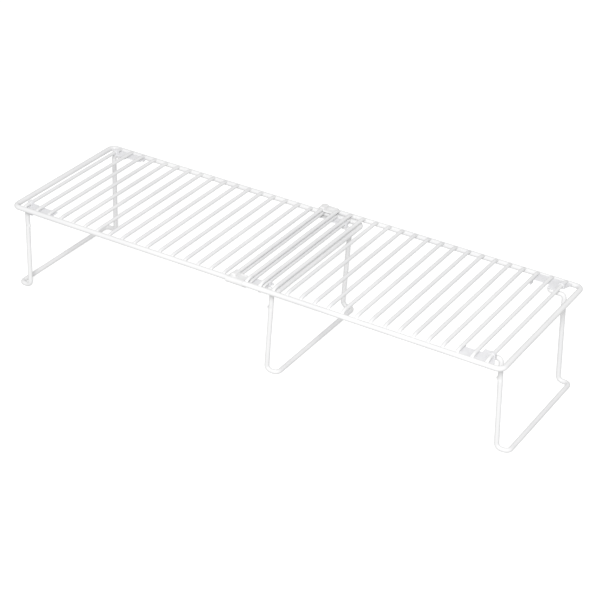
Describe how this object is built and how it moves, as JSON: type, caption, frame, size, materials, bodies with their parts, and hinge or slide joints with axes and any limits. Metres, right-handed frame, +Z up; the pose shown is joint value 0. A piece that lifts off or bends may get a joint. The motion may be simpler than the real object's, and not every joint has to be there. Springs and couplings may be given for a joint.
{
  "type": "expandable wire shelf riser",
  "caption": "White coated wire shelf riser in two sliding halves that stands on folding wire legs and adds a storage level to a cupboard or counter.",
  "frame": {"origin": "centre of the bounding box on the floor plane, with the riser pulled right out and the legs open", "axes": "+X along the length, from the inner deck towards the outer deck; +Y from the front towards the back; +Z up"},
  "size_m": [0.635, 0.2142, 0.1186],
  "materials": {
    "coated_rim_wire": "glossy white epoxy coating over steel wire",
    "coated_cross_wire": "glossy white epoxy coating over steel wire",
    "coated_leg_wire": "glossy white epoxy coating over steel wire",
    "hinge_bracket_sheet": "satin white coating over pressed steel sheet",
    "slide_clip_plastic": "moulded off-white plastic"
  },
  "bodies": {
    "inner_shelf": {"inner_rim": "coated_rim_wire", "inner_cross_wire_01": "coated_cross_wire", "inner_cross_wire_02": "coated_cross_wire", "inner_cross_wire_03": "coated_cross_wire", "inner_cross_wire_04": "coated_cross_wire", "inner_cross_wire_05": "coated_cross_wire", "inner_cross_wire_06": "coated_cross_wire", "inner_cross_wire_07": "coated_cross_wire", "inner_cross_wire_08": "coated_cross_wire", "inner_cross_wire_09": "coated_cross_wire", "inner_cross_wire_10": "coated_cross_wire", "inner_cross_wire_11": "coated_cross_wire", "inner_cross_wire_12": "coated_cross_wire", "inner_cross_wire_13": "coated_cross_wire", "inner_cross_wire_14": "coated_cross_wire", "inner_cross_wire_15": "coated_cross_wire", "inner_cross_wire_16": "coated_cross_wire", "inner_cross_wire_17": "coated_cross_wire", "inner_cross_wire_18": "coated_cross_wire", "inner_cross_wire_19": "coated_cross_wire", "inner_cross_wire_20": "coated_cross_wire", "left_hinge_bracket_front": "hinge_bracket_sheet", "left_hinge_bracket_back": "hinge_bracket_sheet", "middle_hinge_bracket_front": "hinge_bracket_sheet", "middle_hinge_bracket_back": "hinge_bracket_sheet"},
    "outer_shelf": {"outer_rim": "coated_rim_wire", "outer_cross_wire_01": "coated_cross_wire", "outer_cross_wire_02": "coated_cross_wire", "outer_cross_wire_03": "coated_cross_wire", "outer_cross_wire_04": "coated_cross_wire", "outer_cross_wire_05": "coated_cross_wire", "outer_cross_wire_06": "coated_cross_wire", "outer_cross_wire_07": "coated_cross_wire", "outer_cross_wire_08": "coated_cross_wire", "outer_cross_wire_09": "coated_cross_wire", "outer_cross_wire_10": "coated_cross_wire", "outer_cross_wire_11": "coated_cross_wire", "outer_cross_wire_12": "coated_cross_wire", "outer_cross_wire_13": "coated_cross_wire", "outer_cross_wire_14": "coated_cross_wire", "outer_cross_wire_15": "coated_cross_wire", "outer_cross_wire_16": "coated_cross_wire", "outer_cross_wire_17": "coated_cross_wire", "outer_cross_wire_18": "coated_cross_wire", "outer_cross_wire_19": "coated_cross_wire", "right_hinge_bracket_front": "hinge_bracket_sheet", "right_hinge_bracket_back": "hinge_bracket_sheet", "slide_clip_front": "slide_clip_plastic", "slide_clip_back": "slide_clip_plastic"},
    "left_leg": {"left_leg": "coated_leg_wire"},
    "middle_leg": {"middle_leg": "coated_leg_wire"},
    "right_leg": {"right_leg": "coated_leg_wire"}
  },
  "joints": [
    {"name": "extend_slide", "type": "slide", "parent": "inner_shelf", "child": "outer_shelf", "axis": [1, 0, 0], "range_m": [-0.214, 0]},
    {"name": "left_leg_hinge", "type": "hinge", "parent": "inner_shelf", "child": "left_leg", "pos_m": [-0.29179, 0, 0.10445], "axis": [0, -1, 0], "range_deg": [0, 96]},
    {"name": "middle_leg_hinge", "type": "hinge", "parent": "inner_shelf", "child": "middle_leg", "pos_m": [0.01445, 0, 0.10445], "axis": [0, 1, 0], "range_deg": [0, 96]},
    {"name": "right_leg_hinge", "type": "hinge", "parent": "outer_shelf", "child": "right_leg", "pos_m": [0.27629, 0, 0.10895], "axis": [0, 1, 0], "range_deg": [0, 102]}
  ]
}
